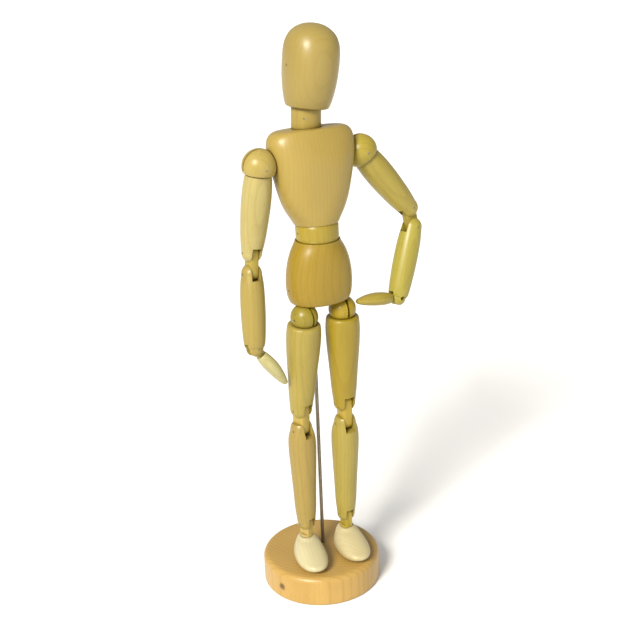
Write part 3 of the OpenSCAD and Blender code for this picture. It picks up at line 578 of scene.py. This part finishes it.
head_rows = [[hz(0), 9.9, 9.6, 9.6, 0, 2], [hz(0.007), 10.4, 10.3, 10.35, 0, 2.02], [hz(0.02), 10.8, 10.9, 11, 0, 2.05], [hz(0.1), 11.6, 12.4, 12.8, 0, 2.1],
             [hz(0.22), 12.3, 13.7, 14.5, 0, 2.15], [hz(0.36), 12.9, 14.6, 15.8, 0, 2.15], [hz(0.5), 13.3, 15, 16.4, 0.1, 2.1],
             [hz(0.64), 13.5, 14.8, 16.4, 0.2, 2.05], [hz(0.76), 13.1, 13.8, 15.6, 0.3, 2], [hz(0.86), 11.5, 11.9, 13.5, 0.4, 2],
             [hz(0.93), 8.9, 9.2, 10.5, 0.5, 2], [hz(0.975), 5.7, 5.9, 6.7, 0.6, 2], [hz(0.994), 3, 3.1, 3.4, 0.6, 2], [hz(1), 0.8, 0.8, 0.9, 0.6, 2]]
ob = new_object("head_carved", loft(head_rows, 120, 6))
place(boolean(ob, [c_ball(neck_dish), c_cyl(P["spring_d"] / 2 + 0.25, 28, (0, 0, 14)), c_cyl(PR, 40, (0, 0, 24.6), "X")]),
      "head_carved", "head", "head", wood("head", contrast=0.5, heart=(0.034, 0.02)))

# ---------------------------------------------------------------- limbs
elbow_rho, wrist_rho, knee_rho, ankle_rho = 5.3, 4.4, 5.9, 4.9
elbow_link_r, knee_link_r, wrist_t, ankle_t = 3.2, 3.8, 3.2, 4.2


def ball_joint(r, flat, tenon, cut_z, yaw):
    a1 = math.asin(flat / r)
    prof = [(r * math.cos(math.radians(89 - i * (89 + math.degrees(a1) - 2.5) / 26)), r * math.sin(math.radians(89 - i * (89 + math.degrees(a1) - 2.5) / 26))) for i in range(27)]
    fr = r * math.cos(a1)
    prof += [(fr + 0.02, -flat + 0.1), (fr - 0.25, -flat), (2.9, -flat), (2.5, -flat), (2.5, -flat - tenon + 0.4), (2.15, -flat - tenon)]
    o = new_object("ball", turned(prof, 96))
    boolean(o, [c_box(-(P["wire_d"] + 0.4) / 2, (P["wire_d"] + 0.4) / 2, -2 * r, 2 * r, -cut_z, 20), c_cyl(PR, 3 * r, axis="X")])
    if yaw:
        o.data.transform(rot("Z", yaw))
    return o


def link(t, r, l, inset=0.3):
    """Flat link with round ends, its rims eased."""
    bm = bmesh.new()
    n = 20
    pts = [(r * math.cos(math.pi * i / n), r * math.sin(math.pi * i / n)) for i in range(n + 1)]
    pts += [(-r * math.cos(math.pi * i / n), -l - r * math.sin(math.pi * i / n)) for i in range(n + 1)]
    def ring(x, k):
        out = []
        for y, z in pts:
            cz = 0 if z > -l / 2 else -l
            d = Vector((y, z - cz))
            if abs(z - cz) > 1e-9 or True:
                d = d * (1 - k / r)
            out.append((x, d.x, cz + d.y))
        return out
    rings_mesh(bm, [ring(-t / 2, inset), ring(-t / 2 + inset * 0.3, inset * 0.3), ring(-t / 2 + inset, 0), ring(0, 0),
                    ring(t / 2 - inset, 0), ring(t / 2 - inset * 0.3, inset * 0.3), ring(t / 2, inset)])
    o = new_object("link", bm)
    return boolean(o, [c_cyl(PR + 0.08, 3 * t, axis="X"), c_cyl(PR + 0.08, 3 * t, (0, 0, -l), "X")])


def knuckle(t, r, drop, tenon, collar):
    bm = bmesh.new()
    n = 16
    pts = [(r * math.cos(math.pi * i / n), r * math.sin(math.pi * i / n)) for i in range(n + 1)] + [(-r, -drop + P["seam"]), (r, -drop + P["seam"])]
    def ring(x, k):
        return [(x, y * (1 - k / r), z * (1 - k / r) if z > 0 else z) for y, z in pts]
    e = 0.25
    rings_mesh(bm, [ring(-t / 2, e), ring(-t / 2 + e, 0), ring(0, 0), ring(t / 2 - e, 0), ring(t / 2, e)])
    o = new_object("knuckle", bm)
    add = [c_cyl(1.5, tenon + 1.2, (0, 0, -drop - tenon + (tenon + 1.2) / 2))]
    if collar:
        add.append(c_cyl(collar, 1.1, (0, 0, -drop + P["seam"] + 0.55), seg=64))
    boolean(o, add, "UNION")
    return boolean(o, [c_cyl(PR + 0.08, 3 * t, axis="X")])


def link_slot(t, r, up, m=None):
    z0, z1 = (-(r + 0.3), 20) if up > 0 else (r + 0.3, -20)
    return c_box(-(t + 0.4) / 2, (t + 0.4) / 2, -12, 12, min(z0, z1), max(z0, z1), m)


def pin_bore(m, r=None, l=20):
    o = c_cyl(r or PR, l, axis="X")
    o.data.transform(Matrix.Scale(1 / MM, 4))
    o.data.transform(m)
    o.data.transform(Matrix.Scale(MM, 4))
    return o


for s, sd in ((-1, "right"), (1, "left")):
    n = sd + "_shoulder_ball"
    place(ball_joint(P["shoulder_r"], P["shoulder_flat"], 6, 2.2, 90), n + "_turned", n, n, wood(n))
    n = sd + "_upper_arm"
    prof = [(3.2, UA_TOP), (5.6, UA_TOP)] + [(5.85, UA_TOP - 0.04), (6.1, UA_TOP - 0.14), (6.35, UA_TOP - 0.3), (6.6, UA_TOP - 0.5)]
    prof += [tuple(q) for q in spline([[6.9, UA_TOP - 2], [7.4, UA_TOP - 9], [7.4, UA_TOP - 17], [6.9, UA_TOP - 26], [6.3, UA_TOP - 33], [5.3, UA_PIN + 0.3]], 6)]
    prof += dome(elbow_rho, P["elbow_tip"], UA_PIN, -1)
    o = new_object(n, turned(prof))
    m = tr(0, 0, UA_PIN)
    place(boolean(o, [c_cyl(2.6, 10, (0, 0, UA_TOP - 2)), link_slot(P["elbow_link_t"], elbow_link_r, -1, m), pin_bore(m)]),
          n + "_turned", n, n, wood(n))
    n = sd + "_elbow_link"
    place(link(P["elbow_link_t"], elbow_link_r, P["elbow_pins"]), n + "_cut", n, n, wood(n))
    n = sd + "_forearm"
    prof = dome(elbow_rho, P["elbow_tip"], 0, 1)
    prof += [tuple(q) for q in spline([[5.4, -1], [6, -6], [6.3, -13], [6.3, -21], [6, -29], [5.6, -34.5], [5.1, -37], [4.4, WRIST_Z + 0.2]], 6)]
    prof += dome(wrist_rho, P["wrist_tip"], WRIST_Z, -1)
    o = new_object(n, turned(prof))
    m = tr(0, 0, WRIST_Z) @ rot("Z", -s * P[sd + "_wrist_slot"])
    cut = [link_slot(P["elbow_link_t"], elbow_link_r, 1), pin_bore(Matrix.Identity(4)), link_slot(wrist_t, 2.3, -1, m), pin_bore(m)]
    if s > 0:
        cut.append(c_cyl(P["wrist_hole_d"] / 2, 6, (2.6 + 3, 0, WRIST_Z), "X"))
    place(boolean(o, cut), n + "_turned", n, n, wood(n))
    n = sd + "_wrist_knuckle"
    place(knuckle(wrist_t, 2.3, P["wrist_drop"], 5, 0), n + "_cut", n, n, wood(n))
    n = sd + "_hand"
    HL = P["hand_len"]
    rows = [[0, 2.7, 2.5, 2.5, 0, 2], [-0.25, 3.05, 2.75, 2.75, 0, 2.05], [-0.8, 3.3, 2.9, 2.9, 0, 2.1], [-3.5, 4.2, 3.3, 3.2, 0, 2.2], [-7, 4.8, 3.5, 3.3, 0, 2.3],
            [-10.5, 4.7, 3.4, 3.2, 0, 2.3], [-14, 4.2, 3, 2.9, 0.1, 2.2], [-17.5, 3.3, 2.4, 2.4, 0.2, 2.1], [-20.5, 2.1, 1.6, 1.7, 0.3, 2],
            [-HL + 0.35, 1.5, 1.1, 1.2, 0.3, 2], [-HL, 0.7, 0.5, 0.6, 0.3, 2]]
    o = new_object(n, loft(rows, 64, 5))
    place(boolean(o, [c_cyl(1.6, 10, (0, 0, -0.6))]), n + "_carved", n, n, wood(n, turning=0))

    n = sd + "_hip_ball"
    place(ball_joint(P["hip_r"], P["hip_flat"], 8, 2.9, 0), n + "_turned", n, n, wood(n))
    n = sd + "_thigh"
    prof = [(3.2, TH_TOP), (7.3, TH_TOP), (7.65, TH_TOP - 0.05), (8.0, TH_TOP - 0.2), (8.3, TH_TOP - 0.42), (8.5, TH_TOP - 0.65)]
    prof += [tuple(q) for q in spline([[8.8, TH_TOP - 2], [9.1, TH_TOP - 7], [8.8, TH_TOP - 15], [8.1, TH_TOP - 24], [7.3, TH_TOP - 34], [6.8, TH_TOP - 41], [5.9, KNEE_Z + 0.3]], 6)]
    prof += dome(knee_rho, P["knee_tip"], KNEE_Z, -1)
    o = new_object(n, turned(prof))
    m = tr(0, 0, KNEE_Z)
    place(boolean(o, [c_cyl(2.6, 12, (0, 0, TH_TOP - 3)), link_slot(P["knee_link_t"], knee_link_r, -1, m), pin_bore(m)]),
          n + "_turned", n, n, wood(n))
    n = sd + "_knee_link"
    place(link(P["knee_link_t"], knee_link_r, P["knee_pins"]), n + "_cut", n, n, wood(n))
    n = sd + "_shin"
    prof = dome(knee_rho, P["knee_tip"], 0, 1)
    prof += [tuple(q) for q in spline([[6.1, -0.6], [7.2, -5], [7.5, -11], [7.2, -19], [6.7, -29], [6.2, -39], [5.8, -48], [4.9, ANKLE_Z + 0.3]], 6)]
    prof += dome(ankle_rho, P["ankle_tip"], ANKLE_Z, -1)
    o = new_object(n, turned(prof))
    m = tr(0, 0, ANKLE_Z)
    place(boolean(o, [link_slot(P["knee_link_t"], knee_link_r, 1), pin_bore(Matrix.Identity(4)), link_slot(ankle_t, 3.2, -1, m), pin_bore(m)]),
          n + "_turned", n, n, wood(n))
    n = sd + "_ankle_knuckle"
    place(knuckle(ankle_t, 3.2, P["ankle_drop"], 6, 3.4), n + "_cut", n, n, wood(n))
    n = sd + "_foot"
    FH = P["foot_h"]
    rows = [[-FH, 6.6, 8.6, 12.6, -6.8, 2.2], [-FH + 0.5, 7.5, 12.2, 13.4, -7, 2.2], [-FH + 1.3, 8.2, 14.4, 14.1, -7.2, 2.2],
            [-FH + 2.8, 8.6, 15.9, 14.6, -7.3, 2.2], [-FH + 4.6, 8.5, 15.9, 14.4, -7.1, 2.2], [-FH + 6.4, 7.9, 13.2, 13.6, -6.3, 2.15],
            [-FH + 8.2, 7, 10.4, 12, -4.8, 2.1], [-FH + 9.8, 6, 7.6, 9.6, -3, 2.05], [-FH + 10.9, 4.9, 5.4, 7, -1.4, 2], [0, 4.1, 4.2, 5.2, -0.6, 2]]
    o = new_object(n, loft(rows, 80, 6))
    place(boolean(o, [c_cyl(1.6, 11.6, (0, 0, -0.8))]), n + "_carved", n, n,
          wood(n, contrast=0.55, turning=0))

# ---------------------------------------------------------------- steel that the CAD frame shows as it is
wire = steel("steel_wire", 11, (1, 1, 1))
rod = steel("steel_rod", 12, (1, 1, 0.03))
for name, o in frame["nodes"].items():
    if any(k in name for k in ("hook", "eye", "pin", "spring", "rod")):
        o.data.materials.clear()
        o.data.materials.append(rod if name == "support_rod" else wire)

# ---------------------------------------------------------------- floor, light and camera
bm = bmesh.new()
bmesh.ops.create_grid(bm, x_segments=4, y_segments=4, size=6)
floor = bpy.data.objects.new("floor", bpy.data.meshes.new("floor"))
bm.to_mesh(floor.data)
bm.free()
bpy.context.collection.objects.link(floor)
mat, nt, b = nodes_of("floor_paper")
nn = Net(nt)
spk = nn.noise(nn.coords((1, 1, 1)), 900, 2, 0.5)
nt.links.new(nn.mix(nn.math("MULTIPLY", spk, 0.3), (0.93, 0.93, 0.925, 1), (0.9, 0.9, 0.895, 1)), b.inputs["Base Color"])
b.inputs["Roughness"].default_value = 0.9
b.inputs["Specular IOR Level"].default_value = 0.1
floor.data.materials.append(mat)

scene = bpy.context.scene
world_data = bpy.data.worlds.new("studio")
scene.world = world_data
world_data.use_nodes = True
bg = world_data.node_tree.nodes["Background"]
bg.inputs[0].default_value = (1.0, 0.99, 0.97, 1)
bg.inputs[1].default_value = 0.46


def area(name, loc, target, size, energy, color):
    d = bpy.data.lights.new(name, "AREA")
    d.shape, d.size, d.energy, d.color = "DISK", size, energy, color
    o = bpy.data.objects.new(name, d)
    bpy.context.collection.objects.link(o)
    o.location = loc
    o.rotation_mode = "QUATERNION"
    o.rotation_quaternion = (Vector(target) - Vector(loc)).to_track_quat("-Z", "Y")
    return o


az = math.radians(-27)
rgt = Vector((math.cos(az), math.sin(az), 0))
toc = Vector((math.sin(az), -math.cos(az), 0))
mid = Vector((0, 0, 0.16))
sun = bpy.data.lights.new("key", "SUN")
sun.energy, sun.angle, sun.color = 4.9, math.radians(22), (1.0, 0.955, 0.89)
key = bpy.data.objects.new("key", sun)
bpy.context.collection.objects.link(key)
key.rotation_mode = "QUATERNION"
key.rotation_quaternion = (-(rgt * -0.42 + toc * 0.72 + Vector((0, 0, 0.62)))).to_track_quat("-Z", "Y")
area("fill", mid + rgt * 0.6 + toc * 0.9 + Vector((0, 0, 0.25)), mid, 0.9, 1.5, (1.0, 1.0, 0.95))

CAM = dict(d=0.550, h=0.36154, zt=0.15394, xo=0.00447, roll=-2.3, f=1125.71)
C = Vector((CAM["d"] * math.sin(az), -CAM["d"] * math.cos(az), CAM["h"]))
T = Vector((0, 0, CAM["zt"])) + rgt * CAM["xo"]
fwd = (T - C).normalized()
right = fwd.cross(Vector((0, 0, 1))).normalized()
up = right.cross(fwd)
ro = math.radians(CAM["roll"])
r2 = right * math.cos(ro) + up * math.sin(ro)
u2 = -right * math.sin(ro) + up * math.cos(ro)
cam = bpy.data.objects.new("camera", bpy.data.cameras.new("camera"))
bpy.context.collection.objects.link(cam)
cam.data.sensor_width = 36
cam.data.lens = CAM["f"] / 640 * 36
cam.data.clip_start, cam.data.clip_end = 0.01, 30
m = Matrix((r2, u2, -fwd)).transposed().to_4x4()
m.translation = C
cam.matrix_world = m
scene.camera = cam
scene.view_settings.view_transform = "Standard"
